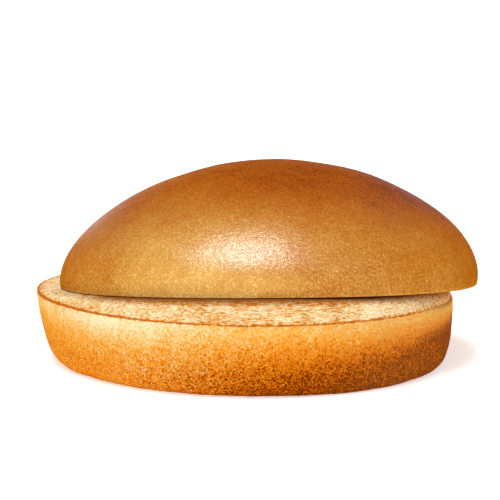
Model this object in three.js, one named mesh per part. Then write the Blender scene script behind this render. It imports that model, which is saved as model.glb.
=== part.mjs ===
// A brioche burger bun, sliced once across: the heel (the bottom half) lies on the table and the
// crown (the egg-washed top half) is set down on it, a little to the right and to the back.
// Millimetres, +Z up, +X right, -Y the front. The origin is on the face the bun rests on, right
// under the middle of the heel's rim.

import * as THREE from 'three';
import { mergeVertices } from 'three/addons/utils/BufferGeometryUtils.js';

// ---------------------------------------------------------------- driving dimensions

// Heel: the flat-bottomed lower half.
const HEEL_THICKNESS = 17.2; // table to the rim of the cut face
const HEEL_RIM_RADIUS = 52.5; // mean radius where the knife came out
const HEEL_REST_RADIUS = 45.7; // mean radius of the flat underneath
const HEEL_REST_OFFSET = new THREE.Vector2(0.5, -1.9); // that flat's middle, seen from the rim's
const HEEL_WALL_ROUNDNESS = 2.96; // superellipse power of the wall, across
const HEEL_WALL_FULLNESS = 1.51; // superellipse power of the wall, upwards
const CUT_FALL = 0.2; // how far the cut face falls on its way to the right rim
const CRUMB_SHOULDER = 18; // how late the swollen crumb rolls down to the rim

// Crown: the domed upper half.
const CROWN_RADIUS = 53; // mean radius of its widest level
const CROWN_DOME_HEIGHT = 30.3; // widest level to the top, before the cut edge is lifted
const CROWN_DOME_POWER = 1.86; // 2 is an ellipse, less is a more pointed dome
const CROWN_LIP_HEIGHT = 1.7; // cut edge to the widest level
const CROWN_LIP_TUCK = 0.4; // how far the cut edge is drawn in under the widest level
const CROWN_LEAN = 1.9; // the top stands this far to the right of the middle
const CROWN_OFFSET = new THREE.Vector2(5.4, 5.6); // where it was set down on the heel
const CROWN_CLEARANCE = 0.8; // its cut face above the heel's rim, at the middle
const HALVES_GAP = 0.4; // the sliver of air between the two cut faces

// The knife's path, which shaped both cut faces.
const CUT_TILT = 0.35; // how much higher it runs at the right edge of the crown
const CUT_FRONT_ARCH = 4.6; // how far it rises towards the front edge of the crown
const CUT_ARCH_POWER = 1.4; // 1 is a straight rise, more starts later

// Slow swellings of the outlines: how many around, how deep as a part of the radius, and the
// direction in degrees of the first one.
const REST_LOBES = [{ count: 2, depth: 0.038, heading: -45 }];
const HEEL_LOBES = [
  { count: 2, depth: 0.01, heading: 122 },
  { count: 3, depth: 0.017, heading: 51 },
  { count: 4, depth: 0.008, heading: -22 },
];
const CROWN_LOBES = [
  { count: 2, depth: 0.002, heading: 42 },
  { count: 3, depth: 0.005, heading: -13 },
  { count: 4, depth: 0.007, heading: 24 },
];

// Fineness of the two solids.
const STEPS_AROUND = 64;
const WALL_STEPS = 10;
const DOME_STEPS = 14;
const LIP_STEPS = 3;
const FACE_STEPS = 8;

// ---------------------------------------------------------------- shared shaping

/** The outline's radius in one direction, as a part of its mean radius. */
function lobedOutline(lobes, angle) {
  const swelling = (sum, lobe) => {
    const phase = lobe.count * (angle - THREE.MathUtils.degToRad(lobe.heading));
    return sum + lobe.depth * Math.cos(phase);
  };
  return lobes.reduce(swelling, 1);
}

/** Height of the crown's cut face above the heel's rim, at a point given from the crown's middle. */
function cutPath(x, y) {
  const arch = CUT_FRONT_ARCH * (Math.max(0, -y) / CROWN_RADIUS) ** CUT_ARCH_POWER;
  return CROWN_CLEARANCE + (CUT_TILT * x) / CROWN_RADIUS + arch;
}

/** A closed solid spun from a profile about +Z, then shaped point by point. */
function shapedSpin(profile, shapePoint) {
  const spun = new THREE.LatheGeometry(profile, STEPS_AROUND).rotateX(Math.PI / 2);
  spun.deleteAttribute('normal');
  spun.deleteAttribute('uv');
  const solid = mergeVertices(spun, 1e-3);
  const corners = solid.getIndex().array;
  const kept = [];
  for (let i = 0; i < corners.length; i += 3) {
    const [a, b, c] = corners.slice(i, i + 3);
    if (a !== b && b !== c && c !== a) {
      kept.push(a, b, c);
    }
  }
  solid.setIndex(kept);
  const points = solid.getAttribute('position');
  const point = new THREE.Vector3();
  for (let i = 0; i < points.count; i += 1) {
    shapePoint(point.fromBufferAttribute(points, i));
    points.setXYZ(i, point.x, point.y, point.z);
  }
  solid.computeVertexNormals();
  return solid;
}

/** Equal steps from the axis to a radius, at one height, both ends included. */
function faceProfile(radius, height, outwards) {
  const ring = (step) => new THREE.Vector2((radius * step) / FACE_STEPS, height);
  const rings = Array.from({ length: FACE_STEPS + 1 }, (_, step) => ring(step));
  return outwards ? rings : rings.reverse();
}

// ---------------------------------------------------------------- heel

/** Height of the heel's rim over a point: the rim falls a little to the right. */
function rimHeight(x) {
  return HEEL_THICKNESS - (CUT_FALL * x) / HEEL_RIM_RADIUS;
}

/** Height of the heel's cut face: just under the crown inside, rolling down to the rim. */
function crumbHeight(x, y, part) {
  const path = cutPath(x - CROWN_OFFSET.x, y - CROWN_OFFSET.y);
  const swollen = HEEL_THICKNESS + path - HALVES_GAP;
  return THREE.MathUtils.lerp(rimHeight(x), swollen, 1 - part ** CRUMB_SHOULDER);
}

/** The lower half: flat underneath, rounded up into a nearly upright wall, cut across on top. */
function makeHeel() {
  const wall = [];
  for (let step = 1; step < WALL_STEPS; step += 1) {
    const turn = ((step / WALL_STEPS) * Math.PI) / 2;
    const across = Math.sin(turn) ** (2 / HEEL_WALL_ROUNDNESS);
    const up = 1 - Math.cos(turn) ** (2 / HEEL_WALL_FULLNESS);
    const radius = THREE.MathUtils.lerp(HEEL_REST_RADIUS, HEEL_RIM_RADIUS, across);
    wall.push(new THREE.Vector2(radius, HEEL_THICKNESS * up));
  }
  const profile = [
    new THREE.Vector2(0, 0),
    new THREE.Vector2(HEEL_REST_RADIUS, 0),
    ...wall,
    ...faceProfile(HEEL_RIM_RADIUS, HEEL_THICKNESS, false),
  ];

  return shapedSpin(profile, (point) => {
    const angle = Math.atan2(point.y, point.x);
    const part = Math.hypot(point.x, point.y) / HEEL_RIM_RADIUS;
    const rise = Math.max(0, point.z / HEEL_THICKNESS);
    const onCutFace = rise > 1 - 1e-6;
    const rest = lobedOutline(REST_LOBES, angle);
    const stretch = THREE.MathUtils.lerp(rest, lobedOutline(HEEL_LOBES, angle), rise);
    point.x = point.x * stretch + HEEL_REST_OFFSET.x * (1 - rise);
    point.y = point.y * stretch + HEEL_REST_OFFSET.y * (1 - rise);
    if (onCutFace) {
      point.z = crumbHeight(point.x, point.y, part);
    } else {
      point.z += (rimHeight(point.x) - HEEL_THICKNESS) * rise;
    }
  });
}

// ---------------------------------------------------------------- crown

/** The upper half: a dome with a small rounded lip, hollowed underneath as the knife left it. */
function makeCrown() {
  const height = CROWN_LIP_HEIGHT + CROWN_DOME_HEIGHT;
  const lip = [];
  for (let step = 1; step < LIP_STEPS; step += 1) {
    const up = step / LIP_STEPS;
    const tuck = CROWN_LIP_TUCK * (1 - up) ** 2;
    lip.push(new THREE.Vector2(CROWN_RADIUS - tuck, CROWN_LIP_HEIGHT * up));
  }
  const dome = [];
  for (let step = 0; step < DOME_STEPS; step += 1) {
    const turn = ((step / DOME_STEPS) * Math.PI) / 2;
    const radius = CROWN_RADIUS * Math.cos(turn) ** (2 / CROWN_DOME_POWER);
    const up = CROWN_DOME_HEIGHT * Math.sin(turn) ** (2 / CROWN_DOME_POWER);
    dome.push(new THREE.Vector2(radius, CROWN_LIP_HEIGHT + up));
  }
  const profile = [
    ...faceProfile(CROWN_RADIUS - CROWN_LIP_TUCK, 0, true),
    ...lip,
    ...dome,
    new THREE.Vector2(0, height),
  ];

  return shapedSpin(profile, (point) => {
    const stretch = lobedOutline(CROWN_LOBES, Math.atan2(point.y, point.x));
    point.x *= stretch;
    point.y *= stretch;
    const rise = Math.max(0, point.z / height);
    point.z += cutPath(point.x, point.y) * (1 - rise) ** 2;
    point.x += CROWN_LEAN * rise ** 1.5;
  });
}

// ---------------------------------------------------------------- the bun

const heelCrust = new THREE.MeshStandardMaterial({ color: '#dc8a3a', roughness: 0.75, metalness: 0 });
const crownCrust = new THREE.MeshStandardMaterial({ color: '#c67c2c', roughness: 0.4, metalness: 0 });

const heel = new THREE.Mesh(makeHeel(), heelCrust);
heel.name = 'heel';

const crown = new THREE.Mesh(makeCrown(), crownCrust);
crown.name = 'crown';
crown.position.set(CROWN_OFFSET.x, CROWN_OFFSET.y, HEEL_THICKNESS);

const bun = new THREE.Group();
bun.name = 'brioche_bun';
bun.add(heel, crown);

export default bun;
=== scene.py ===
"""The looks of a sliced brioche bun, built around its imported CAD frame.

The heel (the flat-bottomed lower half) lies crumb side up. The crown (the egg-washed dome) is set
down on it, a little to the right and to the back. Both halves are modelled from a block of dough
cells that is rounded into bread, cut by one shared knife path, and then given its relief: slow
swellings of the crust, pits and wrinkles of the baked wall, and the air cells of the crumb.
Metres, +Z up, +X right, -Y the front.
"""

import logging
import math
from dataclasses import dataclass
from enum import Enum
from functools import partial

import bpy
import numpy as np
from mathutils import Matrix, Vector


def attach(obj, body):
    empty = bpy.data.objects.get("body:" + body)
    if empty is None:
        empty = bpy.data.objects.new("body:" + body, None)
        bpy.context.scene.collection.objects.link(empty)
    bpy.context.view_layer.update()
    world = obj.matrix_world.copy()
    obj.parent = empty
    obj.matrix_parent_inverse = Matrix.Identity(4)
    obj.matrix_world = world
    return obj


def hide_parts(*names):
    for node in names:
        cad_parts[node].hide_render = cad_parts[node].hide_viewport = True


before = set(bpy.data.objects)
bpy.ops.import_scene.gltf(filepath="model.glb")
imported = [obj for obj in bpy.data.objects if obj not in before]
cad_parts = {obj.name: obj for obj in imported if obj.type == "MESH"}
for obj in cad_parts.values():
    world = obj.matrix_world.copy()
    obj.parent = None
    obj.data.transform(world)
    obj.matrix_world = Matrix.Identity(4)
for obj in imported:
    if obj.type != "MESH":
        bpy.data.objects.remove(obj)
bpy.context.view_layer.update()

log = logging.getLogger("brioche_bun")

MM = 0.001

# Driving dimensions that both halves share.
HEEL_THICKNESS = 17.2 * MM  # table to the rim of the cut face
CROWN_RADIUS = 53 * MM  # mean radius of the crown's widest level
CROWN_OFFSET = (5.4 * MM, 5.6 * MM)  # where the crown was set down on the heel


# ------------------------------------------------------------------ named options


class Trait(Enum):
    """What the mesh stores for its finish to read, one number at each vertex."""

    CUT = "cut"  # millimetres in from the rim over the crumb; negative on the crust
    BROWN = "brown"  # how far the crust has browned or the crumb has toasted
    RELIEF = "relief"  # millimetres that the relief moved the surface outwards
    PRESSED = "pressed"  # how much painted shadow of the crown's edge darkens the crumb
    LINE = "line"  # extra width of the line of crust along the knife's edge
    PITTED = "pitted"  # how strongly the wall is pitted
    DUSTED = "dusted"  # how much flour is left on the wall
    GLAZE = "glaze"  # how much of the egg wash is left


class Zone(Enum):
    """Vertex groups that relief is limited to."""

    CRUMB = "crumb"
    RIM = "rim"
    CRUST = "crust"


class Grain(Enum):
    """Kinds of relief that bread takes on."""

    LUMPS = "CLOUDS"
    CELLS = "VORONOI"


class Measure(Enum):
    """Ways to say where a point is on its half, each as a part of the half's own size."""

    RIGHT = "sideways from the middle, towards the right"
    LEFT = "sideways from the middle, towards the left"
    RAGGED_RIGHT = "as RIGHT, with a wavering border"
    RIGHT_FLANK = "towards the right, as a part of the dome's width at that height"
    LEFT_FLANK = "towards the left, as a part of the dome's width at that height"
    LOW = "down from the rim to the table"
    RISE = "up from the cut face to the top"


Places = dict[Measure, np.ndarray]


# ------------------------------------------------------------------ small helpers


def linear(hex_colour: str) -> tuple[float, float, float, float]:
    """Turns an sRGB hex colour into linear light.

    Args:
        hex_colour: Six hex digits, with or without a leading "#".

    Returns:
        Red, green, blue and an alpha of one, linear.
    """
    digits = hex_colour.lstrip("#")
    channels = [int(digits[i:i + 2], 16) / 255 for i in (0, 2, 4)]
    light = [c / 12.92 if c <= 0.04045 else ((c + 0.055) / 1.055) ** 2.4 for c in channels]
    return (light[0], light[1], light[2], 1.0)


def per_metre(size_mm: float) -> float:
    """Texture scale that makes one pattern cell this many millimetres wide."""
    return 1 / (size_mm * MM)


def add_node(
    tree: bpy.types.NodeTree,
    kind: str,
    inputs: dict[str | int, object] | None = None,
    out: str | int | None = 0,
    stops: tuple[tuple[float, str], ...] = (),
    **settings: object,
) -> bpy.types.NodeSocket | None:
    """Adds one shader node with its settings and links.

    Args:
        tree: The node tree to add to.
        kind: The node's type name without its "ShaderNode" prefix.
        inputs: Input name or index, to a socket to link or a value to set.
        out: Name or index of the output to return, or None for a node that ends the tree.
        stops: Positions and hex colours, for a colour ramp.
        **settings: Properties of the node.

    Returns:
        The chosen output socket.
    """
    made = tree.nodes.new("ShaderNode" + kind)
    for name, value in settings.items():
        setattr(made, name, value)
    for name, value in (inputs or {}).items():
        if isinstance(value, bpy.types.NodeSocket):
            tree.links.new(value, made.inputs[name])
        else:
            made.inputs[name].default_value = value
    if stops:
        elements = made.color_ramp.elements
        while len(elements) < len(stops):
            elements.new(0.5)
        for element, (position, colour) in zip(elements, stops):
            element.position = position
            element.color = linear(colour)
    return None if out is None else made.outputs[out]


def smooth_step(none_at: float, all_at: float, value: np.ndarray) -> np.ndarray:
    """A soft ramp from zero to one between two values, which may run either way."""
    part = np.clip((value - none_at) / (all_at - none_at), 0, 1)
    return part * part * (3 - 2 * part)


def activate(piece: bpy.types.Object) -> None:
    """Makes one object the only selected one and the active one.

    Args:
        piece: The object to work on next.
    """
    bpy.ops.object.select_all(action="DESELECT")
    piece.select_set(True)
    bpy.context.view_layer.objects.active = piece


def points_of(piece: bpy.types.Object) -> np.ndarray:
    """Reads a piece's vertices.

    Args:
        piece: The object to read.

    Returns:
        One row of x, y and z for each vertex.
    """
    flat = np.empty(len(piece.data.vertices) * 3)
    piece.data.vertices.foreach_get("co", flat)
    return flat.reshape(-1, 3)


def set_points(piece: bpy.types.Object, points: np.ndarray) -> None:
    """Moves the piece's vertices."""
    piece.data.vertices.foreach_set("co", points.ravel())
    piece.data.update()


def store(piece: bpy.types.Object, trait: Trait, values: np.ndarray) -> None:
    """Keeps one number for each vertex, for the finish to read."""
    layer = piece.data.attributes.new(trait.value, "FLOAT", "POINT")
    layer.data.foreach_set("value", values.astype(np.float32))


def weigh(piece: bpy.types.Object, zone: Zone, weights: np.ndarray, grades: int = 24) -> None:
    """Makes a vertex group whose weights follow the given numbers.

    Args:
        piece: The object to weigh.
        zone: The group to make.
        weights: One number from zero to one for each vertex.
        grades: How many different weights are told apart.
    """
    group = piece.vertex_groups.new(name=zone.value)
    graded = np.rint(weights * grades).astype(int)
    for grade in range(1, grades + 1):
        members = np.flatnonzero(graded == grade)
        if len(members):
            group.add(members.tolist(), grade / grades, "REPLACE")


# ------------------------------------------------------------------ shape of the bread


@dataclass(frozen=True)
class Lobe:
    """One slow swelling of an outline.

    Attributes:
        count: How many times it comes round.
        depth: How deep it is, as a part of the radius.
        heading: Direction of its first crest, in degrees.
    """

    count: int
    depth: float
    heading: float


@dataclass(frozen=True)
class Outline:
    """The outline of one half from above.

    Attributes:
        radius: Its mean radius.
        lobes: The swellings that keep it from being a true circle.
    """

    radius: float
    lobes: tuple[Lobe, ...]

    def towards(self, angle: np.ndarray) -> np.ndarray:
        """Measures the outline.

        Args:
            angle: Directions about the axis.

        Returns:
            The radius in each direction.
        """
        swelling = sum(
            lobe.depth * np.cos(lobe.count * (angle - math.radians(lobe.heading)))
            for lobe in self.lobes
        )
        return self.radius * (1 + swelling)


@dataclass(frozen=True)
class KnifePath:
    """The path of the knife, which shaped both cut faces.

    Attributes:
        reach: Distance over which the rises below are counted.
        lift: Height at the middle, above the heel's rim.
        tilt: Rise towards the right edge.
        front_arch: Rise towards the front edge.
        arch_power: How late that rise starts; one is a straight rise.
    """

    reach: float
    lift: float
    tilt: float
    front_arch: float
    arch_power: float

    def height(self, x: np.ndarray, y: np.ndarray) -> np.ndarray:
        """Height over points given from the crown's middle."""
        arch = self.front_arch * (np.maximum(0, -y) / self.reach) ** self.arch_power
        return self.lift + self.tilt * x / self.reach + arch


@dataclass(frozen=True)
class Relief:
    """One layer of relief pushed into a surface.

    Attributes:
        name: What it is.
        grain: Its pattern.
        size_mm: Width of one lump or cell.
        height_mm: How far the surface moves between the lowest and highest points.
        where: The zone that it is limited to.
        octaves: Levels of finer detail in the lumps.
    """

    name: str
    grain: Grain
    size_mm: float
    height_mm: float
    where: Zone
    octaves: int = 1

    def press(self, piece: bpy.types.Object) -> None:
        """Displaces a piece along its normals and applies the modifier.

        Args:
            piece: The active object, with the zone's vertex group.
        """
        texture = bpy.data.textures.new(self.name, self.grain.value)
        texture.noise_scale = self.size_mm * MM
        if self.grain is Grain.LUMPS:
            texture.noise_depth = self.octaves
            texture.noise_basis = "IMPROVED_PERLIN"
        modifier = piece.modifiers.new(self.name, "DISPLACE")
        modifier.texture = texture
        modifier.texture_coords = "LOCAL"
        modifier.strength = self.height_mm * MM
        modifier.mid_level = 0.5
        modifier.vertex_group = self.where.value
        bpy.ops.object.modifier_apply(modifier=modifier.name)


def dough_block(name: str, cells: int, rings: int) -> bpy.types.Object:
    """A block of even cells: two square grids, one unit apart, with a wall bridged between.

    Args:
        name: Name of the new object.
        cells: Cells along each side of the square faces.
        rings: Rows of faces up the wall.

    Returns:
        The block, two units wide and one high, in object mode.
    """
    bpy.ops.object.select_all(action="DESELECT")
    grid = {"x_subdivisions": cells, "y_subdivisions": cells, "size": 2}
    bpy.ops.mesh.primitive_grid_add(location=(0, 0, 0), **grid)
    block = bpy.context.object
    block.name = name
    bpy.ops.object.mode_set(mode="EDIT")
    bpy.ops.mesh.primitive_grid_add(location=(0, 0, 1), **grid)
    bpy.ops.mesh.select_all(action="SELECT")
    bpy.ops.mesh.region_to_loop()
    bpy.ops.mesh.bridge_edge_loops(number_cuts=rings - 1)
    bpy.ops.mesh.select_all(action="SELECT")
    bpy.ops.mesh.normals_make_consistent(inside=False)
    bpy.ops.object.mode_set(mode="OBJECT")
    return block


@dataclass
class BlockPlaces:
    """Where each vertex of a dough block sits, in the block's own terms.

    Attributes:
        level: Height up the wall, from zero to one.
        part: Distance from the axis, from zero at the axis to one at the wall.
        angle: Direction about the axis.
        crowding: How much finer the cells of the faces are near the wall.
    """

    level: np.ndarray
    part: np.ndarray
    angle: np.ndarray
    crowding: float = 0.3

    @classmethod
    def read(cls, block: bpy.types.Object) -> "BlockPlaces":
        """Reads the places off a block, with its square rings opened out into round ones.

        Args:
            block: A dough block that hasn't been shaped yet.

        Returns:
            The place of each vertex.
        """
        s, t, level = points_of(block).T
        part = np.maximum(np.abs(s), np.abs(t))
        wide = np.abs(s) >= np.abs(t)
        safe_s = np.where(s == 0, 1, s)
        safe_t = np.where(t == 0, 1, t)
        sideways = math.pi / 4 * t / safe_s + np.where(s < 0, math.pi, 0)
        lengthways = math.pi / 2 - math.pi / 4 * s / safe_t + np.where(t < 0, math.pi, 0)
        angle = np.where(wide, sideways, lengthways)
        return cls(level=level, part=np.clip(part, 0, 1), angle=angle)

    @property
    def below(self) -> np.ndarray:
        """Which vertices belong to the lower face."""
        return self.level < 1e-4

    @property
    def above(self) -> np.ndarray:
        """Which vertices belong to the upper face."""
        return self.level > 1 - 1e-4

    @property
    def crowded(self) -> np.ndarray:
        """The part again, with the rings drawn together near the wall."""
        return self.part * (1 + self.crowding - self.crowding * self.part)


# ------------------------------------------------------------------ how the bread browned


@dataclass(frozen=True)
class Fade:
    """A soft border across one measure; it may run either way.

    Attributes:
        measure: What it runs along.
        none_at: Where a patch has gone.
        all_at: Where a patch is whole.
    """

    measure: Measure
    none_at: float
    all_at: float


@dataclass(frozen=True)
class Patch:
    """An area of bread that has more or less of a trait than the rest.

    Attributes:
        amount: How much more, where it is whole; below zero is less.
        fades: Its soft borders.
    """

    amount: float
    fades: tuple[Fade, ...]

    def over(self, places: Places) -> np.ndarray:
        """Works out the patch.

        Args:
            places: Where each point is.

        Returns:
            What the patch adds at each point.
        """
        share = self.amount
        for fade in self.fades:
            share = share * smooth_step(fade.none_at, fade.all_at, places[fade.measure])
        return share


@dataclass(frozen=True)
class Spot:
    """A round patch with no clear border.

    Attributes:
        amount: What it adds at its middle.
        right: Its middle, along Measure.RIGHT.
        rise: Its middle, along Measure.RISE.
        half_width: Its reach to either side.
        half_height: Its reach up and down.
    """

    amount: float
    right: float
    rise: float
    half_width: float
    half_height: float

    def over(self, places: Places) -> np.ndarray:
        """Works out the spot.

        Args:
            places: Where each point is.

        Returns:
            What the spot adds at each point.
        """
        sideways = (places[Measure.RIGHT] - self.right) / self.half_width
        upwards = (places[Measure.RISE] - self.rise) / self.half_height
        return self.amount * np.exp(-(sideways**2) - upwards**2)


@dataclass(frozen=True)
class Spread:
    """How one trait is spread over a half.

    Attributes:
        even: Its amount where no patch reaches.
        patches: What adds to it.
    """

    even: float
    patches: tuple[Patch | Spot, ...]

    def over(self, places: Places) -> np.ndarray:
        """The trait's amount at each point."""
        return self.even + sum(patch.over(places) for patch in self.patches)


# ------------------------------------------------------------------ finishes


# Light sinks a little way into bread, red furthest, so its lit side glows warm. The bread itself
# has no shine.
BREAD_BODY = {
    "IOR": 1.45, "Specular IOR Level": 0.0, "Subsurface Weight": 0.15,
    "Subsurface Radius": (1.0, 0.5, 0.25), "Subsurface Scale": 0.6 * MM,
}


def bread_material(name: str) -> bpy.types.Material:
    """Makes a material with an empty node tree.

    Args:
        name: The real substance, and how its surface was made.

    Returns:
        The material.
    """
    material = bpy.data.materials.new(name)
    material.use_nodes = True
    material.node_tree.nodes.clear()
    return material


def mottling(tree: bpy.types.NodeTree, place: bpy.types.NodeSocket, size_mm: float, swing: float,
             detail: float = 2.0, roughness: float = 0.6) -> bpy.types.NodeSocket:
    """Adds soft random variation.

    Args:
        tree: The node tree to add to.
        place: Coordinates in metres.
        size_mm: Width of one patch.
        swing: Largest usual value; the lowest is minus that.
        detail: Levels of finer patches.
        roughness: How strong those are.

    Returns:
        A socket that swings evenly about zero.
    """
    cloud = add_node(tree, "TexNoise", {"Vector": place, "Scale": per_metre(size_mm),
                                        "Detail": detail, "Roughness": roughness})
    return add_node(tree, "MapRange", {"Value": cloud, "From Min": 0.3, "From Max": 0.7,
                                       "To Min": -swing, "To Max": swing}, clamp=False)


def stirred(tree: bpy.types.NodeTree, place: bpy.types.NodeSocket,
            size_mm: float) -> bpy.types.NodeSocket:
    """Pushes coordinates about by up to a millimetre, so that a cell pattern looks torn.

    Args:
        tree: The node tree to add to.
        place: Coordinates in metres.
        size_mm: Width of one swirl.

    Returns:
        The new coordinates.
    """
    swirls = add_node(tree, "TexNoise", {"Vector": place, "Scale": per_metre(size_mm)},
                      out="Color")
    return add_node(tree, "VectorMath", {0: swirls, 1: (MM, MM, MM), 2: place},
                    operation="MULTIPLY_ADD")


def weighted_sum(
    tree: bpy.types.NodeTree,
    start: bpy.types.NodeSocket | float,
    *terms: tuple[bpy.types.NodeSocket, bpy.types.NodeSocket | float],
) -> bpy.types.NodeSocket:
    """Adds up values, each times its own weight.

    Args:
        tree: The node tree to add to.
        start: What the sum begins with.
        *terms: Each value with its weight.

    Returns:
        The sum.
    """
    result = start
    for value, weight in terms:
        result = add_node(tree, "Math", {0: value, 1: weight, 2: result},
                          operation="MULTIPLY_ADD")
    return result


@dataclass(frozen=True)
class BriocheCrumb:
    """Brioche crumb: butter-yellow, fine and springy, cut with a knife and lightly toasted.

    It is dull, and cream in the torn cells. The high spots took a little colour on the griddle,
    which shows as golden dashes, and a thin ragged line of crust frames it.

    Attributes:
        torn: Colour of the open cells.
        cream: Colour of the plain crumb.
        gold: Colour of a toasted high spot.
        toasted: Colour of a well toasted one.
        singed: Colour of the darkest specks.
        crust_line: Colour of the line of crust along the knife's edge.
        pressed: Colour of the painted shadow that the crown's edge casts on the crumb, also
            painted as shade along the crown's cut edge.
        roughness: Roughness of the shader.
        toast: How toasted the crumb is without its patterns.
    """

    torn: str = "#f4dfb8"
    cream: str = "#dab680"
    gold: str = "#da9a42"
    toasted: str = "#d07a1a"
    singed: str = "#8f5318"
    crust_line: str = "#b8600f"
    pressed: str = "#764018"
    roughness: float = 0.9
    toast: float = 0.36

    def colour(self, tree: bpy.types.NodeTree, place: bpy.types.NodeSocket,
               brown: bpy.types.NodeSocket) -> bpy.types.NodeSocket:
        """Adds the crumb's colour.

        Args:
            tree: Tree of the finish that shows the crumb.
            place: Object coordinates.
            brown: How toasted the crumb is.

        Returns:
            The colour socket.
        """
        add = partial(add_node, tree)
        relief = add("Attribute", out="Fac", attribute_name=Trait.RELIEF.value)
        # The dashes run from side to side, the way the knife was drawn.
        layered = add("VectorMath", {0: place, 1: (0.4, 1.0, 2.4)}, operation="MULTIPLY")
        # The hollows of the relief are toasted darker and its ridges paler: painted shade in the
        # crumb's cells.
        toast = weighted_sum(
            tree, brown,
            (mottling(tree, place, 6.0, swing=0.12), 1.0),
            (mottling(tree, layered, 0.8, swing=0.23, detail=1.0, roughness=0.7), 1.0),
            (mottling(tree, layered, 0.36, swing=0.32, detail=1.0), 1.0),
            (relief, -0.4))
        level = add("Math", {0: toast, 1: self.toast}, operation="ADD")
        bare = add("ValToRGB", {"Fac": level}, stops=(
            (0.0, self.torn), (0.38, self.cream), (0.52, self.gold), (0.66, self.toasted),
            (1.0, self.singed)))
        # Painted shadow: where the crown's edge shades the crumb, the colour is mixed towards
        # dark brown.
        pressed = add("Attribute", out="Fac", attribute_name=Trait.PRESSED.value)
        return add("Mix", {0: pressed, 6: bare, 7: linear(self.pressed)}, out=2,
                   data_type="RGBA")

    def framed(self, tree: bpy.types.NodeTree, place: bpy.types.NodeSocket,
               cut: bpy.types.NodeSocket, bread: bpy.types.NodeSocket) -> bpy.types.NodeSocket:
        """Draws the thin line of crust over the knife's edge, on both of its sides.

        Args:
            tree: The node tree to add to.
            place: Object coordinates.
            cut: Distance in from the rim, in millimetres; negative down the crust.
            bread: Colour of the crumb and the crust.

        Returns:
            The colour with the line over it.
        """
        add = partial(add_node, tree)
        line = add("Attribute", out="Fac", attribute_name=Trait.LINE.value)
        raggedness = mottling(tree, place, 1.5, swing=0.7, detail=3.0, roughness=0.9)
        wanted = add("Math", {0: raggedness, 1: line}, operation="ADD")
        width = add("MapRange", {"Value": wanted, "From Min": -0.2, "From Max": 2.0,
                                 "To Min": 0.02, "To Max": 1.72})
        inwards = add("Math", {0: cut, 1: 2.4}, operation="MULTIPLY")
        downwards = add("Math", {0: cut, 1: -2.0}, operation="MULTIPLY")
        distance = add("Math", {0: inwards, 1: downwards}, operation="MAXIMUM")
        nearness = add("Math", {0: distance, 1: width}, operation="DIVIDE")
        drawn = add("MapRange", {"Value": nearness, "From Min": 1.1, "From Max": 0.5})
        return add("Mix", {0: drawn, 6: bread, 7: linear(self.crust_line)}, out=2,
                   data_type="RGBA")


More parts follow.
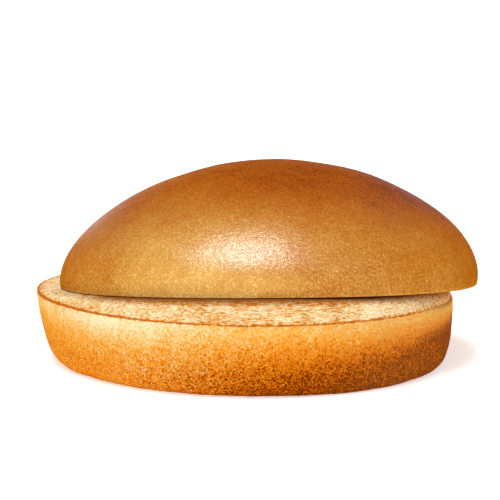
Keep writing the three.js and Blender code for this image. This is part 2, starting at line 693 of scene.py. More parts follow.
@dataclass(frozen=True)
class EggWashedCrust:
    """The crown's crust: brioche brushed with beaten egg and baked to a thin, satin glaze.

    The glaze browns most on the top, where the oven is hottest, and stays golden low down. It is
    tight and smooth, with a faint dimpled skin that breaks up the reflections.

    Attributes:
        crumb: Finish of the cut face underneath.
        straw: The palest crust, on its cut edge; partly painted light, pale enough to lift the
            shade on the tucked lip.
        golden: Crust that has only just browned.
        amber: The low front of the dome.
        tan: The dome halfway up.
        brown: The top.
        chestnut: The darkest grains of the top.
        roughness: Roughness of the crust under the glaze.
        coat: Weight of the glaze where it is whole.
        coat_roughness: Roughness of the glaze.
        coat_ior: IOR of the glaze, high for a clear highlight.
        skin_depth: Depth of its dimples, too fine for the mesh.
    """

    crumb: BriocheCrumb = BriocheCrumb()
    straw: str = "#efc27a"
    golden: str = "#cc9a49"
    amber: str = "#b47423"
    tan: str = "#a75c0a"
    brown: str = "#914203"
    chestnut: str = "#762f00"
    roughness: float = 0.5
    coat: float = 0.9
    coat_roughness: float = 0.24
    coat_ior: float = 1.78
    skin_depth: float = 0.035 * MM

    def crust_colour(self, tree: bpy.types.NodeTree, place: bpy.types.NodeSocket,
                     cut: bpy.types.NodeSocket, brown: bpy.types.NodeSocket,
                     grain: bpy.types.NodeSocket) -> bpy.types.NodeSocket:
        """Adds the colour of the crust, with painted shade along its cut edge where the slit
        under it is dark.

        Args:
            tree: The node tree to add to.
            place: Object coordinates.
            cut: Distance in from the cut edge, in millimetres; negative up the crust.
            brown: How far the crust has browned.
            grain: The crust's finest pattern.

        Returns:
            The colour socket.
        """
        add = partial(add_node, tree)
        coarse = add("MapRange", {"Value": brown, "From Min": 0.1, "From Max": 0.4,
                                  "To Min": 0.45, "To Max": 1.1})
        specks = mottling(tree, place, 0.8, swing=1.0)
        flecks = add("MapRange", {"Value": specks, "From Min": 0.5, "From Max": 1.1})
        # Paler towards the cut edge: partly a pale line of crust, partly painted light that lifts
        # the shade on the tucked lip.
        edge = add("MapRange", {"Value": cut, "From Min": -1.0, "From Max": -0.3})
        baked = weighted_sum(
            tree, brown,
            (mottling(tree, place, 14.0, swing=0.05, detail=3.0), 1.0),
            (mottling(tree, place, 3.5, swing=0.03), 1.0),
            (grain, coarse), (flecks, -0.14), (edge, -0.12))
        glazed = add("ValToRGB", {"Fac": baked}, stops=(
            (0.0, self.straw), (0.15, self.golden), (0.4, self.amber), (0.6, self.tan),
            (0.85, self.brown), (1.0, self.chestnut)))
        # Painted shade: the lowest sliver of the cut edge takes the dark brown of the slit's
        # shade.
        painted_slit_shade = add("MapRange", {"Value": cut, "From Min": -0.18, "From Max": -0.04})
        return add("Mix", {0: painted_slit_shade, 6: glazed, 7: linear(self.crumb.pressed)}, out=2,
                   data_type="RGBA")

    def build(self) -> bpy.types.Material:
        """Makes the material.

        Returns:
            The finished material.
        """
        material = bread_material("egg_washed_brioche_crust")
        tree = material.node_tree
        add = partial(add_node, tree)
        place = add("TexCoord", out="Object")
        cut = add("Attribute", out="Fac", attribute_name=Trait.CUT.value)
        brown = add("Attribute", out="Fac", attribute_name=Trait.BROWN.value)
        grain = mottling(tree, place, 0.5, swing=0.2, roughness=0.8)
        crust = self.crust_colour(tree, place, cut, brown, grain)
        crumb = self.crumb.colour(tree, place, brown)
        on_crumb = add("Math", {0: cut, 1: 0.0}, operation="GREATER_THAN")
        colour = add("Mix", {0: on_crumb, 6: crust, 7: crumb}, out=2, data_type="RGBA")
        rough = add("Mix", {0: on_crumb, 2: self.roughness, 3: self.crumb.roughness},
                    data_type="FLOAT")
        # The egg wash pulled off the darker grains as it dried.
        spotty = add("MapRange", {"Value": grain, "From Min": -0.1, "From Max": 0.1,
                                  "To Min": self.coat, "To Max": 0.4 * self.coat})
        brushed = add("Attribute", out="Fac", attribute_name=Trait.GLAZE.value)
        even = add("Math", {0: spotty, 1: brushed}, operation="MULTIPLY")
        glaze = add("Mix", {0: on_crumb, 2: even, 3: 0.0}, data_type="FLOAT")
        dimples = mottling(tree, place, 0.95, swing=0.45)
        skin = weighted_sum(tree, dimples, (grain, -1.6))
        bump = add("Bump", {"Height": skin, "Distance": self.skin_depth, "Strength": 1.0})
        shader = add("BsdfPrincipled", {
            "Base Color": colour, "Roughness": rough, "Normal": bump, "Coat Weight": glaze,
            "Coat Normal": bump, "Coat Roughness": self.coat_roughness,
            "Coat IOR": self.coat_ior, **BREAD_BODY})
        add("OutputMaterial", {"Surface": shader}, out=None)
        return material


@dataclass(frozen=True)
class BakedHeelCrust:
    """The heel's crust: unglazed, pale where the dough stayed covered, browned on the tray.

    It is dry and nearly matt. Steam left fine pores, densest low down, between paler ridges;
    their dark insides are painted shade. The colour runs from cream under the rim through orange
    to brown at the tray.

    Attributes:
        crumb: Finish of the cut face on top.
        cream: The palest crust, right under the rim.
        butter: Crust that has only just browned.
        apricot: The upper wall.
        orange: The wall halfway down.
        copper: The wall near the tray.
        brown: The corner that stood on the tray.
        pore: Colour deep in a pore, painted shade in its hollow.
        flour: Colour of the flour that is left on it.
        roughness: Roughness of the crust.
        bake: How baked the crust is without its patterns and the browning of its place.
        skin_depth: Depth of its grain, too fine for the mesh.
    """

    crumb: BriocheCrumb = BriocheCrumb()
    cream: str = "#f4d8ac"
    butter: str = "#e9b15c"
    apricot: str = "#e8982e"
    orange: str = "#e28012"
    copper: str = "#ce6500"
    brown: str = "#a64c00"
    pore: str = "#7a3400"
    flour: str = "#c49a60"
    roughness: float = 0.75
    bake: float = -0.06
    skin_depth: float = 0.24 * MM

    def openings(
        self, tree: bpy.types.NodeTree, place: bpy.types.NodeSocket,
        brown: bpy.types.NodeSocket, coarse: bpy.types.NodeSocket,
    ) -> tuple[bpy.types.NodeSocket, bpy.types.NodeSocket]:
        """Adds the pores that steam left: close pits, and rarer vents where the wall is brown.

        Args:
            tree: The node tree to add to.
            place: Object coordinates.
            brown: How far the crust has browned.
            coarse: How coarse the wall is.

        Returns:
            How deep each point is in a pit, and how deep in a vent.
        """
        add = partial(add_node, tree)
        cells = add("TexVoronoi", {"Vector": stirred(tree, place, 0.7),
                                   "Scale": per_metre(0.95)}, out="Distance")
        hollow = add("MapRange", {"Value": cells, "From Min": 0.5, "From Max": 0.1})
        pit = add("Math", {0: hollow, 1: coarse}, operation="MULTIPLY")
        holes = add("TexVoronoi", {"Vector": place, "Scale": per_metre(3.6)}, out="Distance")
        hole = add("MapRange", {"Value": holes, "From Min": 0.16, "From Max": 0.06})
        dark = add("MapRange", {"Value": brown, "From Min": 0.45, "From Max": 0.8})
        vent = add("Math", {0: hole, 1: dark}, operation="MULTIPLY")
        return pit, vent

    def creases(self, tree: bpy.types.NodeTree,
                place: bpy.types.NodeSocket) -> bpy.types.NodeSocket:
        """Adds the pale creases that the skin drew itself into as it dried.

        Args:
            tree: The node tree to add to.
            place: Object coordinates.

        Returns:
            How strong the crease is at each point.
        """
        add = partial(add_node, tree)
        folds = add("TexVoronoi", {"Vector": stirred(tree, place, 1.5),
                                   "Scale": per_metre(2.8)}, out="Distance",
                    feature="DISTANCE_TO_EDGE")
        fold = add("MapRange", {"Value": folds, "From Min": 0.05, "From Max": 0.01})
        dry = add("MapRange", {"Value": mottling(tree, place, 3.0, swing=1.0),
                               "From Min": -0.2, "From Max": 1.0})
        return add("Math", {0: fold, 1: dry}, operation="MULTIPLY")

    def build(self) -> bpy.types.Material:
        """Makes the material.

        Returns:
            The finished material.
        """
        material = bread_material("baked_brioche_heel_crust")
        tree = material.node_tree
        add = partial(add_node, tree)
        place = add("TexCoord", out="Object")
        cut = add("Attribute", out="Fac", attribute_name=Trait.CUT.value)
        brown = add("Attribute", out="Fac", attribute_name=Trait.BROWN.value)

        # The wall is coarser lower down, where it baked harder.
        deeper = add("MapRange", {"Value": cut, "From Min": -2.0, "From Max": -13.0,
                                  "To Min": 0.35, "To Max": 1.0})
        pitted = add("Attribute", out="Fac", attribute_name=Trait.PITTED.value)
        coarse = add("Math", {0: deeper, 1: pitted}, operation="MULTIPLY")
        fine = mottling(tree, place, 0.36, swing=0.42, detail=1.0, roughness=0.9)
        grain = add("Math", {0: fine, 1: coarse}, operation="MULTIPLY")
        pit, vent = self.openings(tree, place, brown, coarse)
        crease = self.creases(tree, place)
        # Upright strands, where the rising dough stretched its skin.
        upright = add("VectorMath", {0: place, 1: (1.0, 1.0, 0.3)}, operation="MULTIPLY")
        strands = add("MapRange", {"Value": mottling(tree, upright, 1.1, swing=1.0),
                                   "From Min": 0.4, "From Max": 1.1})

        # The pits and vents are coloured darker: painted shade in their hollows.
        baked = weighted_sum(
            tree, brown,
            (mottling(tree, place, 7.0, swing=0.04, detail=3.0), 1.0),
            (mottling(tree, place, 2.4, swing=0.04), 1.0),
            (strands, -0.1), (grain, 1.0), (pit, 0.42), (vent, 0.35), (crease, -0.16))
        level = add("Math", {0: baked, 1: self.bake}, operation="ADD")
        bare = add("ValToRGB", {"Fac": level}, stops=(
            (0.0, self.cream), (0.15, self.butter), (0.32, self.apricot), (0.48, self.orange),
            (0.68, self.copper), (0.88, self.brown), (1.0, self.pore)))
        dusted = add("Attribute", out="Fac", attribute_name=Trait.DUSTED.value)
        crust = add("Mix", {0: dusted, 6: bare, 7: linear(self.flour)}, out=2,
                    data_type="RGBA")
        on_crumb = add("Math", {0: cut, 1: 0.0}, operation="GREATER_THAN")
        crumb = self.crumb.colour(tree, place, brown)
        bread = add("Mix", {0: on_crumb, 6: crust, 7: crumb}, out=2, data_type="RGBA")
        colour = self.crumb.framed(tree, place, cut, bread)
        rough = add("Mix", {0: on_crumb, 2: self.roughness, 3: self.crumb.roughness},
                    data_type="FLOAT")
        skin = weighted_sum(tree, 0.0, (grain, -2.0), (pit, -1.0), (vent, -1.5), (crease, 0.8))
        bump = add("Bump", {"Height": skin, "Distance": self.skin_depth, "Strength": 1.0})
        shader = add("BsdfPrincipled", {
            "Base Color": colour, "Roughness": rough, "Normal": bump, **BREAD_BODY})
        add("OutputMaterial", {"Surface": shader}, out=None)
        return material


# ------------------------------------------------------------------ the two halves


SOFT_ANGLE = 60  # degrees; faces that meet at less than this are shaded as one round surface

# The middle of the wall, faded out up to the rim and down to the tray.
HALFWAY_DOWN = (Fade(Measure.LOW, 0.2, 0.45), Fade(Measure.LOW, 0.8, 0.5))


def dress(piece: bpy.types.Object, finish: bpy.types.Material, node: str) -> None:
    """Smooths a piece, gives it its finish, and sets it in the frame for its CAD node.

    Args:
        piece: The modelled half.
        finish: Its material.
        node: The CAD node that it stands for.
    """
    activate(piece)
    bpy.ops.object.shade_smooth_by_angle(angle=math.radians(SOFT_ANGLE))
    piece.data.materials.clear()
    piece.data.materials.append(finish)
    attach(piece, "root")
    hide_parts(node)


@dataclass
class Heel:
    """The flat-bottomed lower half, crumb side up.

    Attributes:
        outline: Its rim from above.
        thickness: Table to rim.
        rest: Outline of the flat underneath.
        rest_offset: That flat's middle, seen from the rim's.
        wall_roundness: Superellipse power of the wall, across.
        wall_fullness: Superellipse power of the wall, upwards.
        cut_fall: How far the rim falls towards the right.
        shoulder: How late the swollen crumb rolls down to the rim.
        gap: The sliver of air between the two cut faces.
        knife: The knife's path.
        knife_middle: Where the knife's path is counted from.
        worn_depth: How far the rim's right end is rubbed down.
        worn_reach_mm: How far from the rim that is felt.
        cells: Cells along each side of its block.
        rings: Rows of faces up its wall.
        layers: Its relief.
        rim_brown: How brown the crust is just under the rim.
        tray_brown: How brown it is next to the tray.
        wall_brown: What the wall has on top of those two.
        dusted: How much flour is left on the wall.
        pitted: How strongly the wall is pitted.
        line: Extra width of the line of crust along the knife's edge.
        finish: Its crust and crumb.
    """

    outline: Outline
    thickness: float
    rest: Outline
    rest_offset: tuple[float, float]
    wall_roundness: float
    wall_fullness: float
    cut_fall: float
    shoulder: float
    gap: float
    knife: KnifePath
    knife_middle: tuple[float, float]
    worn_depth: float
    worn_reach_mm: float
    cells: int = 180
    rings: int = 36
    layers: tuple[Relief, ...] = (
        Relief("crumb_swells", Grain.LUMPS, 9.0, 0.3, Zone.CRUMB),
        Relief("crumb_tears", Grain.LUMPS, 2.4, 0.35, Zone.CRUMB, octaves=2),
        Relief("crumb_cells", Grain.CELLS, 1.4, 0.25, Zone.CRUMB),
        Relief("rim_tears", Grain.LUMPS, 1.6, 0.3, Zone.RIM, octaves=2),
        Relief("crust_swells", Grain.LUMPS, 16.0, 0.8, Zone.CRUST),
        Relief("crust_wrinkles", Grain.LUMPS, 2.2, 0.22, Zone.CRUST, octaves=2),
    )
    rim_brown: Spread = Spread(0.06, (
        Patch(0.15, (Fade(Measure.RIGHT, -0.6, 0),)),
        Patch(0.14, (Fade(Measure.LEFT, 0.7, 0.98),)),
        Patch(0.05, (Fade(Measure.RIGHT, 0.3, 0.9),)),
        Patch(-0.07, (Fade(Measure.RIGHT, 0.85, 1),)),
    ))
    tray_brown: Spread = Spread(0.39, (Patch(0.52, (Fade(Measure.RIGHT, -0.6, 0.3),)),))
    wall_brown: Spread = Spread(0.0, (
        Patch(0.11, (Fade(Measure.RIGHT, 0.7, 1), *HALFWAY_DOWN)),
        Patch(0.03, (Fade(Measure.LEFT, 0.2, 0.8), *HALFWAY_DOWN)),
        Patch(0.06, (Fade(Measure.LEFT, 0.1, 0.8), Fade(Measure.LOW, 0, 0.4))),
        Patch(0.05, (Fade(Measure.LOW, 0.75, 1),)),
        Patch(0.04, (Fade(Measure.RIGHT, -0.3, 0.5),)),
    ))
    dusted: Spread = Spread(0.0, (
        Patch(0.07, (Fade(Measure.RIGHT, 0.2, 0.7),)),
        Patch(0.21, (Fade(Measure.RIGHT, 0.2, 0.7), Fade(Measure.LOW, 0.5, 0.1))),
    ))
    pitted: Spread = Spread(1.0, (Patch(-0.36, (Fade(Measure.LEFT, 0.1, 0.75),)),))
    line: Spread = Spread(0.3, (
        Patch(0.5, (Fade(Measure.LEFT, 0.3, 0.9),)),
        Patch(0.9, (Fade(Measure.LEFT, 0.8, 1),)),
        Patch(-0.7, (Fade(Measure.RIGHT, 0.6, 0.9),)),
    ))
    finish: BakedHeelCrust = BakedHeelCrust()

    def rim_height(self, x: np.ndarray) -> np.ndarray:
        """Height of the rim over a point."""
        return self.thickness - self.cut_fall * x / self.outline.radius

    def under_crown(self, x: np.ndarray, y: np.ndarray) -> tuple[np.ndarray, np.ndarray]:
        """Sees points from the crown.

        Args:
            x: Places to the right.
            y: Places to the back.

        Returns:
            Their distance from the crown's middle, and the height of the knife's path there above
            the rim.
        """
        across = x - self.knife_middle[0]
        along = y - self.knife_middle[1]
        return np.hypot(across, along), self.knife.height(across, along)

    def crumb_height(self, x: np.ndarray, y: np.ndarray, part: np.ndarray) -> np.ndarray:
        """Height of the cut face: just under the crown inside, rolling down to the rim.

        Args:
            x: Places to the right.
            y: Places to the back.
            part: Distances from the axis, from zero to one at the rim.

        Returns:
            The heights.
        """
        distance, path = self.under_crown(x, y)
        rim = self.rim_height(x)
        # Under the crown the crumb stays swollen nearly to the rim, and at the right it falls
        # away sooner.
        shoulder = self.shoulder * (2 - smooth_step(0.97, 1.06, distance / self.knife.reach))
        shoulder = shoulder * (1 - 0.55 * smooth_step(0.8, 1, x / self.outline.radius))
        return rim + (self.thickness + path - self.gap - rim) * (1 - part**shoulder)

    def shape(self, block: bpy.types.Object) -> np.ndarray:
        """Rounds the block into the heel, and marks its zones.

        Args:
            block: A dough block that hasn't been shaped yet.

        Returns:
            Distance of each vertex in from the rim over the cut face, in millimetres; down the
            crust it is negative.
        """
        at = BlockPlaces.read(block)
        turn = at.level * math.pi / 2
        across = np.sin(turn) ** (2 / self.wall_roundness)
        up = 1 - np.clip(np.cos(turn), 0, 1) ** (2 / self.wall_fullness)
        up = np.where(at.above, 1.0, up)
        rim = self.outline.towards(at.angle)
        rest = self.rest.towards(at.angle)
        wall = rest + (rim - rest) * across
        radius = np.select([at.below, at.above], [rest * at.part, rim * at.crowded], wall)
        x = radius * np.cos(at.angle) + self.rest_offset[0] * (1 - up)
        y = radius * np.sin(at.angle) + self.rest_offset[1] * (1 - up)
        z = np.select([at.below, at.above],
                      [np.zeros_like(x), self.crumb_height(x, y, at.crowded)],
                      self.rim_height(x) * up)

        inset = rim * (1 - at.crowded)
        cut = np.where(at.above, inset, z - self.rim_height(x)) / MM
        worn = self.worn_depth * smooth_step(0.8, 1, x / self.outline.radius)
        worn = worn * np.maximum(0, 1 - np.abs(cut) / self.worn_reach_mm) ** 2
        distance, _ = self.under_crown(x, y)
        bare = smooth_step(0.3, 1.6, inset / MM) * smooth_step(0.97, 1.02,
                                                              distance / self.knife.reach)
        x = x - worn * np.cos(at.angle)
        y = y - worn * np.sin(at.angle)
        set_points(block, np.stack([x, y, z - worn], axis=1))

        weigh(block, Zone.CRUMB, np.where(at.above, bare, 0))
        weigh(block, Zone.RIM, np.where(at.below, 0, 1 - smooth_step(0.3, 1.2, np.abs(cut))))
        on_wall = np.where(at.above | at.below, 0, smooth_step(0, 0.06, at.level))
        weigh(block, Zone.CRUST, on_wall * smooth_step(0.0, 1.2, -cut))
        return cut

    def relieve(self, piece: bpy.types.Object) -> None:
        """Presses the relief into the crumb and the crust, and keeps the underside on the table.

        Args:
            piece: The shaped heel.
        """
        before = points_of(piece)
        for layer in self.layers:
            layer.press(piece)
        points = points_of(piece)
        points[:, 2] = np.maximum(points[:, 2], 0)
        set_points(piece, points)
        store(piece, Trait.RELIEF, (points - before)[:, 2] / MM)

    def brown_crust(self, piece: bpy.types.Object) -> np.ndarray:
        """Works out how far the crust has browned, and stores its flour, pits and cut line.

        Args:
            piece: The heel with its relief.

        Returns:
            The browning of each vertex, true outside the cut face.
        """
        x, _, z = points_of(piece).T
        side = x / self.outline.radius
        low = 1 - z / self.thickness
        places = {Measure.RIGHT: side, Measure.LEFT: -side, Measure.LOW: low}
        store(piece, Trait.DUSTED, self.dusted.over(places))
        store(piece, Trait.PITTED, self.pitted.over(places))
        store(piece, Trait.LINE, self.line.over(places))
        rim = self.rim_brown.over(places)
        # Towards both sides, and most at the right, the tray's brown reaches further up.
        whole = 0.78 - 0.35 * side**2 - 0.25 * np.maximum(0, side) ** 2
        down = np.clip((low - 0.1) / whole, 0, 1)
        return rim + (self.tray_brown.over(places) - rim) * down + self.wall_brown.over(places)

    def toast_crumb(self, piece: bpy.types.Object, cut: np.ndarray) -> np.ndarray:
        """Works out how toasted the crumb is, and stores the painted shadow that the crown's edge
        casts on it.

        Args:
            piece: The heel with its relief.
            cut: Distance in from the rim, in millimetres; negative down the crust.

        Returns:
            The toasting of each vertex, true on the cut face.
        """
        x, y, z = points_of(piece).T
        side = x / self.outline.radius
        distance, path = self.under_crown(x, y)
        outside = (distance - self.knife.reach) / MM
        drop = (self.thickness + path - z) / MM
        front = (self.knife_middle[1] - y) / self.knife.reach

        # Painted shadow: the crown's edge casts a band of shade along its front, darkest where
        # the crumb lies closest under the knife's path, thinning out to both sides.
        pressed = (1 - np.clip((drop - 0.2) / 1.9, 0, 1)) * smooth_step(5, 1.5, outside)
        pressed = pressed * smooth_step(-7, -3, outside) * smooth_step(0.1, 0.45, front)
        pressed = pressed * (1 - 0.9 * smooth_step(0.55, 0.85, side))
        pressed = pressed * (1 - 0.6 * smooth_step(0.55, 0.85, -side))
        store(piece, Trait.PRESSED, np.where(cut > 0, pressed, 0))

        # The back left is pale inside and toasted along its rim. The right is paler too, partly
        # pale crumb and partly painted light that lifts the shade under the crown's overhang, up
        # to its toasted end.
        back_left = smooth_step(-0.1, 0.9, -side + 0.4 * y / self.outline.radius)
        toast = back_left * (0.4 * np.exp(-np.maximum(cut, 0) / 1.3) - 0.16)
        toast = toast - 0.2 * smooth_step(0.4, 0.6, side) + 0.24 * smooth_step(0.68, 0.9, side)
        # Along that painted shadow the crumb is also toasted darker, which is more painted shade.
        return toast + 0.2 * smooth_step(0, 0.5, pressed) * smooth_step(0.8, 0.5, -side)

    def build(self) -> bpy.types.Object:
        """Builds and dresses the heel.

        Returns:
            The finished heel.
        """
        piece = dough_block("heel_bread", self.cells, self.rings)
        activate(piece)
        cut = self.shape(piece)
        store(piece, Trait.CUT, cut)
        self.relieve(piece)
        crust = self.brown_crust(piece)
        store(piece, Trait.BROWN, np.where(cut > 0, self.toast_crumb(piece, cut), crust))
        dress(piece, self.finish.build(), "heel")
        return piece


@dataclass
class Crown:
    """The domed upper half.

    Attributes:
        outline: Its widest level from above.
        middle: Place of the cut face's middle, before the knife's path is added.
        lip_height: Cut edge to the widest level.
        lip_tuck: How far the cut edge is drawn in.
        dome_height: Widest level to the top.
        dome_power: Superellipse power of the dome.
        lean: How far the top stands to the right.
        knife: The knife's path.
        cells: Cells along each side of its block.
        rings: Rows of faces up its lip.
        layers: Its relief.
        browned: How far its crust has browned.
        finish: Its crust and crumb.
    """

    outline: Outline
    middle: Vector
    lip_height: float
    lip_tuck: float
    dome_height: float
    dome_power: float
    lean: float
    knife: KnifePath
    cells: int = 200
    rings: int = 6
    layers: tuple[Relief, ...] = (
        Relief("crumb_swells", Grain.LUMPS, 9.0, 0.2, Zone.CRUMB),
        Relief("crumb_tears", Grain.LUMPS, 2.4, 0.25, Zone.CRUMB, octaves=2),
        Relief("crumb_cells", Grain.CELLS, 1.4, 0.2, Zone.CRUMB),
        Relief("crown_swells", Grain.LUMPS, 24.0, 0.8, Zone.CRUST),
        Relief("crown_dimples", Grain.LUMPS, 6.0, 0.12, Zone.CRUST),
    )
    browned: Spread = Spread(0.37, (
        # The top, which was nearest the heat, and its brownest part at the right.
        Patch(0.42, (Fade(Measure.RISE, 0.45, 0.95),)),
        Patch(-0.05, (Fade(Measure.LEFT, 0.1, 0.5), Fade(Measure.RISE, 0.5, 0.8))),
        Patch(0.06, (Fade(Measure.RIGHT, -0.1, 0.2), Fade(Measure.RISE, 0.7, 0.9))),
        Patch(0.12, (Fade(Measure.RIGHT, 0.35, 0.6), Fade(Measure.RISE, 0.5, 0.75))),
        # The golden lower left.
        Patch(-0.2, (Fade(Measure.RAGGED_RIGHT, 0.2, -0.12), Fade(Measure.RISE, 0.8, 0.3))),
        # The right side, and its foot.
        Patch(0.24, (Fade(Measure.RIGHT, 0.2, 1), Fade(Measure.RISE, 0.25, 0.6))),
        Patch(0.07, (Fade(Measure.RIGHT, 0, 0.3), Fade(Measure.RISE, 0.6, 0.3))),
        # The left side, a little less at its foot.
        Patch(0.216, (Fade(Measure.LEFT, 0.4, 0.9),)),
        Patch(0.144, (Fade(Measure.LEFT, 0.4, 0.9), Fade(Measure.RISE, 0, 0.4))),
        # Both flanks.
        Patch(0.18, (Fade(Measure.RIGHT_FLANK, 0.82, 1),)),
        Patch(0.1, (Fade(Measure.LEFT_FLANK, 0.85, 1),)),
        # A pale spot on the front of the dome, which is a painted highlight carrying on above the
        # glaze's own, and a deeper spot under the pale one.
        Spot(-0.11, right=-0.12, rise=0.68, half_width=0.3, half_height=0.14),
        Spot(0.1, right=-0.12, rise=0.46, half_width=0.2, half_height=0.12),
    ))
    finish: EggWashedCrust = EggWashedCrust()

    def shape(self, block: bpy.types.Object) -> None:
        """Rounds the block into the crown, marks its zones, and stores how far each point is from
        the cut edge.

        Args:
            block: A dough block that hasn't been shaped yet.
        """
        at = BlockPlaces.read(block)
        height = self.lip_height + self.dome_height
        widest = self.outline.towards(at.angle)
        turn = (1 - at.part) * math.pi / 2
        dome_across = np.clip(np.cos(turn), 0, 1) ** (2 / self.dome_power)
        dome_up = np.sin(turn) ** (2 / self.dome_power)
        lip = widest - self.lip_tuck * (1 - at.level) ** 2
        radius = np.select([at.below, at.above],
                           [(widest - self.lip_tuck) * at.crowded, widest * dome_across], lip)
        z = np.select([at.below, at.above],
                      [np.zeros_like(radius), self.lip_height + self.dome_height * dome_up],
                      self.lip_height * at.level)
        x = radius * np.cos(at.angle)
        y = radius * np.sin(at.angle)
        rise = z / height
        inset = (widest - self.lip_tuck) * (1 - at.crowded)
        store(block, Trait.CUT, np.where(at.below, inset, -z) / MM)
        z = z + self.knife.height(x, y) * (1 - rise) ** 2
        x = x + self.lean * rise**1.5
        set_points(block, np.stack([x, y, z], axis=1) + np.array(self.middle))
        weigh(block, Zone.CRUMB, np.where(at.below, smooth_step(0.3, 1.6, inset / MM), 0))
        weigh(block, Zone.CRUST, np.where(at.above, smooth_step(0.0, 0.08, 1 - at.part), 0))

    def relieve(self, piece: bpy.types.Object) -> None:
        """Presses the relief into the crumb and the crust.

        Args:
            piece: The shaped crown.
        """
        before = points_of(piece)
        for layer in self.layers:
            layer.press(piece)
        moved = points_of(piece) - before
        store(piece, Trait.RELIEF, -moved[:, 2] / MM)

    def brown(self, piece: bpy.types.Object) -> None:
        """Stores how far each point has browned, and how much of its egg wash is left.

        Args:
            piece: The crown with its relief.
        """
        x, _, z = points_of(piece).T
        rise = (z - self.middle.z) / (self.lip_height + self.dome_height)
        side = (x - self.middle.x) / self.outline.radius
        wavering = 0.05 * np.sin(18 * rise) + 0.03 * np.sin(43 * rise)
        flank = side / np.sqrt(np.maximum(0.05, 1 - 0.9 * rise**2))
        store(piece, Trait.BROWN, self.browned.over({
            Measure.RIGHT: side, Measure.LEFT: -side, Measure.RAGGED_RIGHT: side + wavering,
            Measure.RIGHT_FLANK: flank, Measure.LEFT_FLANK: -flank, Measure.RISE: rise}))

        # The brush missed the foot and both sides, and the heat dulled the top.
        brushed = 0.08 + 0.92 * smooth_step(0.1, 0.45, rise)
        missed = smooth_step(0.6, 1.0, -side) * smooth_step(0.6, 0.35, rise)
        missed = np.minimum(1, missed + smooth_step(0.45, 0.95, side))
        dulled = smooth_step(0.55, 0.95, rise + 0.2 * np.maximum(0, -side - 0.3))
        store(piece, Trait.GLAZE, brushed * (1 - 0.95 * missed) * (1 - 0.85 * dulled))

    def build(self) -> bpy.types.Object:
        """Builds and dresses the crown.

        Returns:
            The finished crown.
        """
        piece = dough_block("crown_bread", self.cells, self.rings)
        activate(piece)
        self.shape(piece)
        self.relieve(piece)
        self.brown(piece)
        dress(piece, self.finish.build(), "crown")
        return piece


# ------------------------------------------------------------------ the studio


@dataclass(frozen=True)
class SoftLight:
    """A broad, distant panel.

    Attributes:
        name: Which light it is.
        energy: Its strength.
        spread: How wide it looks from the bun, in degrees.
        elevation: Its height above the horizon, in degrees.
        azimuth: How far to the left of the camera it stands, in degrees.
        colour: Its tint.
    """

    name: str
    energy: float
    spread: float
    elevation: float
    azimuth: float
    colour: tuple[float, float, float]

    def hang(self) -> None:
        """Adds the light."""
        data = bpy.data.lights.new(self.name, "SUN")
        data.energy = self.energy
        data.angle = math.radians(self.spread)
        data.color = self.colour
        lamp = bpy.data.objects.new(self.name, data)
        bpy.context.scene.collection.objects.link(lamp)
        lamp.rotation_euler = (math.radians(90 - self.elevation), 0, -math.radians(self.azimuth))


# Tints of the panels: clear daylight, and light that comes back warmer off a pale room.
CLEAR = (0.97, 0.985, 0.965)
WARM = (1.0, 0.955, 0.87)


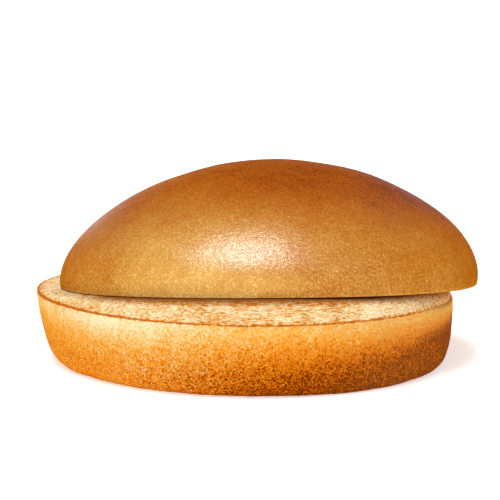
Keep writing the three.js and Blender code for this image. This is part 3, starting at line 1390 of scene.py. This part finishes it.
@dataclass(frozen=True)
class Studio:
    """A white sweep under a broad soft light from high in front, and the camera.

    Attributes:
        target: The point the distance is counted from: the middle of the heel's rim.
        distance: Camera to target.
        elevation: Camera height above the horizon, in degrees.
        lens: Focal length in millimetres, for the sensor width below.
        sensor: Sensor width in millimetres.
        aim_up: How far the camera looks above the target, in degrees.
        aim_right: How far it looks to the right of it, in degrees.
        lights: The panels.
        sky_strength: Strength of the sky, which is white all round.
        horizon_strength: Its strength at the horizon, where it stands behind the floor.
        horizon_band: Heights between which it falls from one to the other, in degrees.
        floor_size: Width of the floor.
        floor_white: How much light the floor gives back.
        floor_glow: Strength of its own glow, which keeps it as pale as the sky behind it.
    """

    target: Vector
    distance: float = 0.5
    elevation: float = 9.2
    lens: float = 142.56
    sensor: float = 36.0
    aim_up: float = 1.115
    aim_right: float = 0.076
    lights: tuple[SoftLight, ...] = (
        SoftLight("key_left", 1.22, 28.0, 77.5, 64.0, CLEAR),
        SoftLight("key_right", 1.22, 28.0, 80.5, 42.0, CLEAR),
        SoftLight("fill", 1.42, 100.0, 34.0, -12.0, WARM),
        SoftLight("low_fill", 0.34, 90.0, 12.0, 25.0, WARM),
        SoftLight("back_fill", 0.3, 100.0, 22.0, 170.0, WARM),
    )
    sky_strength: float = 0.12
    horizon_strength: float = 1.0
    horizon_band: tuple[float, float] = (5.5, 12.0)
    floor_size: float = 12.0
    floor_white: float = 0.93
    floor_glow: float = 0.5

    def set_camera(self) -> None:
        """Adds the camera."""
        data = bpy.data.cameras.new("camera")
        data.lens = self.lens
        data.sensor_width = self.sensor
        camera = bpy.data.objects.new("camera", data)
        bpy.context.scene.collection.objects.link(camera)
        up = math.radians(self.elevation)
        camera.location = self.target + self.distance * Vector((0, -math.cos(up), math.sin(up)))
        pitch = math.radians(90 - self.elevation + self.aim_up)
        camera.rotation_euler = (pitch, 0, -math.radians(self.aim_right))
        bpy.context.scene.camera = camera

    def set_lights(self) -> None:
        """Adds the sky and the panels."""
        world = bpy.data.worlds.new("white_room")
        world.use_nodes = True
        tree = world.node_tree
        towards = add_node(tree, "TexCoord", out="Generated")
        height = add_node(tree, "SeparateXYZ", {0: towards}, out="Z")
        low, high = (math.sin(math.radians(angle)) for angle in self.horizon_band)
        glow = add_node(tree, "MapRange", {
            "Value": height, "From Min": low, "From Max": high,
            "To Min": self.horizon_strength, "To Max": self.sky_strength},
            interpolation_type="SMOOTHSTEP")
        sky = tree.nodes["Background"]
        sky.inputs["Color"].default_value = (1, 1, 1, 1)
        tree.links.new(glow, sky.inputs["Strength"])
        bpy.context.scene.world = world
        for light in self.lights:
            light.hang()

    def lay_floor(self) -> None:
        """Adds the pale floor."""
        bpy.ops.object.select_all(action="DESELECT")
        bpy.ops.mesh.primitive_plane_add(size=self.floor_size, location=(0, 0, 0))
        floor = bpy.context.object
        floor.name = "floor"
        white = (self.floor_white, self.floor_white, self.floor_white, 1)
        material = bpy.data.materials.new("white_sweep")
        material.use_nodes = True
        shader = material.node_tree.nodes["Principled BSDF"]
        shader.inputs["Base Color"].default_value = white
        shader.inputs["Roughness"].default_value = 1.0
        shader.inputs["Specular IOR Level"].default_value = 0.0
        shader.inputs["Emission Color"].default_value = (1, 1, 1, 1)
        shader.inputs["Emission Strength"].default_value = self.floor_glow
        floor.data.materials.append(material)


# ------------------------------------------------------------------ putting it together


def main() -> None:
    """Builds the studio and the bun, and writes how large it came out."""
    logging.basicConfig(level=logging.INFO, format="%(message)s")
    bpy.context.scene.view_settings.view_transform = "Standard"

    studio = Studio(target=Vector((0, 0, HEEL_THICKNESS)))
    studio.set_camera()
    studio.set_lights()
    studio.lay_floor()

    knife = KnifePath(reach=CROWN_RADIUS, lift=0.8 * MM, tilt=0.35 * MM, front_arch=4.6 * MM,
                      arch_power=1.4)
    heel = Heel(
        outline=Outline(52.5 * MM, (Lobe(2, 0.01, 122), Lobe(3, 0.017, 51), Lobe(4, 0.008, -22))),
        thickness=HEEL_THICKNESS, rest=Outline(45.7 * MM, (Lobe(2, 0.038, -45),)),
        rest_offset=(0.5 * MM, -1.9 * MM), wall_roundness=2.96, wall_fullness=1.51,
        cut_fall=0.2 * MM, shoulder=18, gap=0.06 * MM, knife=knife, knife_middle=CROWN_OFFSET,
        worn_depth=0.7 * MM, worn_reach_mm=1.4)
    crown = Crown(
        outline=Outline(CROWN_RADIUS,
                        (Lobe(2, 0.002, 42), Lobe(3, 0.005, -13), Lobe(4, 0.007, 24))),
        middle=Vector((*CROWN_OFFSET, HEEL_THICKNESS)), lip_height=1.7 * MM,
        lip_tuck=0.15 * MM, dome_height=30.3 * MM, dome_power=1.86, lean=1.9 * MM, knife=knife)
    for half in (heel, crown):
        piece = half.build()
        log.info("%s: %d faces", piece.name, len(piece.data.polygons))


if __name__ == "__main__":
    main()
